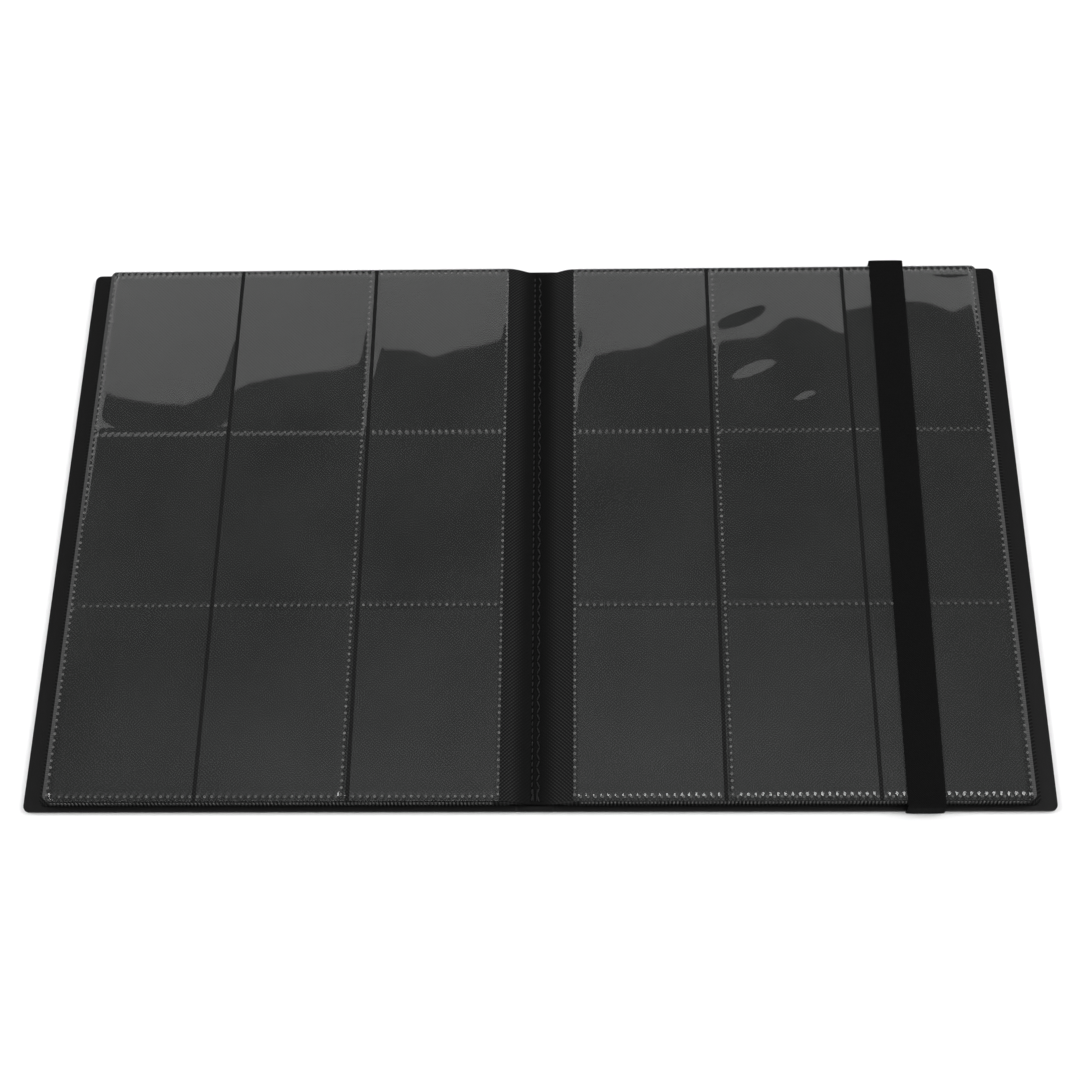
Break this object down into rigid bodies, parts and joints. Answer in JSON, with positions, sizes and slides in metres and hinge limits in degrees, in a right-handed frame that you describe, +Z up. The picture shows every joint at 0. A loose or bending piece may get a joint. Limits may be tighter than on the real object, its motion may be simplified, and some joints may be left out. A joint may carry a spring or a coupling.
{
  "type": "card album",
  "caption": "Black plastic pocket album lying open, with clear side-loading film pockets in rows and columns on each page, a sewn gutter and a woven elastic strap across the right-hand page.",
  "frame": {"origin": "under the middle of the seam, at the height of the lowest point, the rivet heads", "axes": "+X towards the back cover's fore edge, +Y towards the head of the pages, +Z up from the table through the open pages"},
  "size_m": [0.454, 0.2892, 0.0104],
  "materials": {
    "cover_plastic": "fine-grained matte black polypropylene sheet",
    "leaf_web": "embossed black plastic web with a fine diagonal dot grain",
    "pocket_film": "clear glossy film, welded with small round dimples",
    "elastic": "matte black woven elastic",
    "thread": "black sewing thread",
    "rivet_metal": "black painted metal"
  },
  "bodies": {
    "spine": {"spine_panel": "cover_plastic", "front_living_hinge": "cover_plastic", "back_living_hinge": "cover_plastic", "seam_thread": "thread", "left_gutter_webs": "leaf_web", "right_gutter_webs": "leaf_web"},
    "front_cover": {"front_cover": "cover_plastic"},
    "back_cover": {"back_cover": "cover_plastic", "strap_head_wrap": "elastic", "strap_foot_wrap": "elastic", "strap_head_tail": "elastic", "strap_foot_tail": "elastic", "strap_head_rivet": "rivet_metal", "strap_foot_rivet": "rivet_metal"},
    "left_pages": {"left_leaf_01": "leaf_web", "left_leaf_02": "leaf_web", "left_leaf_03": "leaf_web", "left_leaf_04": "leaf_web", "left_leaf_05": "leaf_web", "left_leaf_06": "leaf_web", "left_leaf_07": "leaf_web", "left_leaf_08": "leaf_web", "left_leaf_09": "leaf_web", "left_stack_film_inner": "pocket_film", "left_stack_film_middle": "pocket_film", "left_stack_film_outer": "pocket_film"},
    "right_pages": {"right_leaf_01": "leaf_web", "right_leaf_02": "leaf_web", "right_leaf_03": "leaf_web", "right_leaf_04": "leaf_web", "right_leaf_05": "leaf_web", "right_leaf_06": "leaf_web", "right_leaf_07": "leaf_web", "right_leaf_08": "leaf_web", "right_leaf_09": "leaf_web", "right_leaf_10": "leaf_web", "right_stack_film_inner": "pocket_film", "right_stack_film_middle": "pocket_film", "right_stack_film_outer": "pocket_film"},
    "turning_web": {"turning_gutter_web": "leaf_web"},
    "turning_leaf": {"turning_leaf": "leaf_web", "turning_leaf_under_film_inner": "pocket_film", "turning_leaf_under_film_middle": "pocket_film", "turning_leaf_under_film_outer": "pocket_film", "turning_leaf_top_film_inner": "pocket_film", "turning_leaf_top_film_middle": "pocket_film", "turning_leaf_top_film_outer": "pocket_film"},
    "strap": {"strap_front_span": "elastic"}
  },
  "joints": [
    {"name": "front_cover_fold", "type": "hinge", "parent": "spine", "child": "front_cover", "pos_m": [-0.0081, 0, 0.0024], "axis": [0, 1, 0], "range_deg": [0, 90]},
    {"name": "back_cover_fold", "type": "hinge", "parent": "spine", "child": "back_cover", "pos_m": [0.0081, 0, 0.0024], "axis": [0, -1, 0], "range_deg": [0, 90]},
    {"name": "left_pages_fold", "type": "hinge", "parent": "spine", "child": "left_pages", "pos_m": [-0.0081, 0, 0.0024], "axis": [0, 1, 0], "range_deg": [0, 90], "deforming": ["left_gutter_webs", "turning_gutter_web"]},
    {"name": "right_pages_fold", "type": "hinge", "parent": "spine", "child": "right_pages", "pos_m": [0.0081, 0, 0.0024], "axis": [0, -1, 0], "range_deg": [0, 90], "deforming": ["right_gutter_webs"]},
    {"name": "turning_web_swing", "type": "hinge", "parent": "left_pages", "child": "turning_web", "pos_m": [-0.0034, 0, 0.0071], "axis": [0, -1, 0], "range_deg": [-148, 0]},
    {"name": "turning_leaf_bend", "type": "hinge", "parent": "turning_web", "child": "turning_leaf", "pos_m": [-0.0153, 0, 0.00959], "axis": [0, -1, 0], "range_deg": [-31, 0]},
    {"name": "strap_stretch", "type": "slide", "parent": "back_cover", "child": "strap", "axis": [0, 0, 1], "range_m": [0, 0.01], "stiffness_N_per_m": 120, "deforming": ["strap_head_wrap", "strap_foot_wrap"]}
  ],
  "couplings": [
    {"joint": "left_pages_fold", "follows": "front_cover_fold", "ratio": 1},
    {"joint": "right_pages_fold", "follows": "back_cover_fold", "ratio": 1}
  ]
}
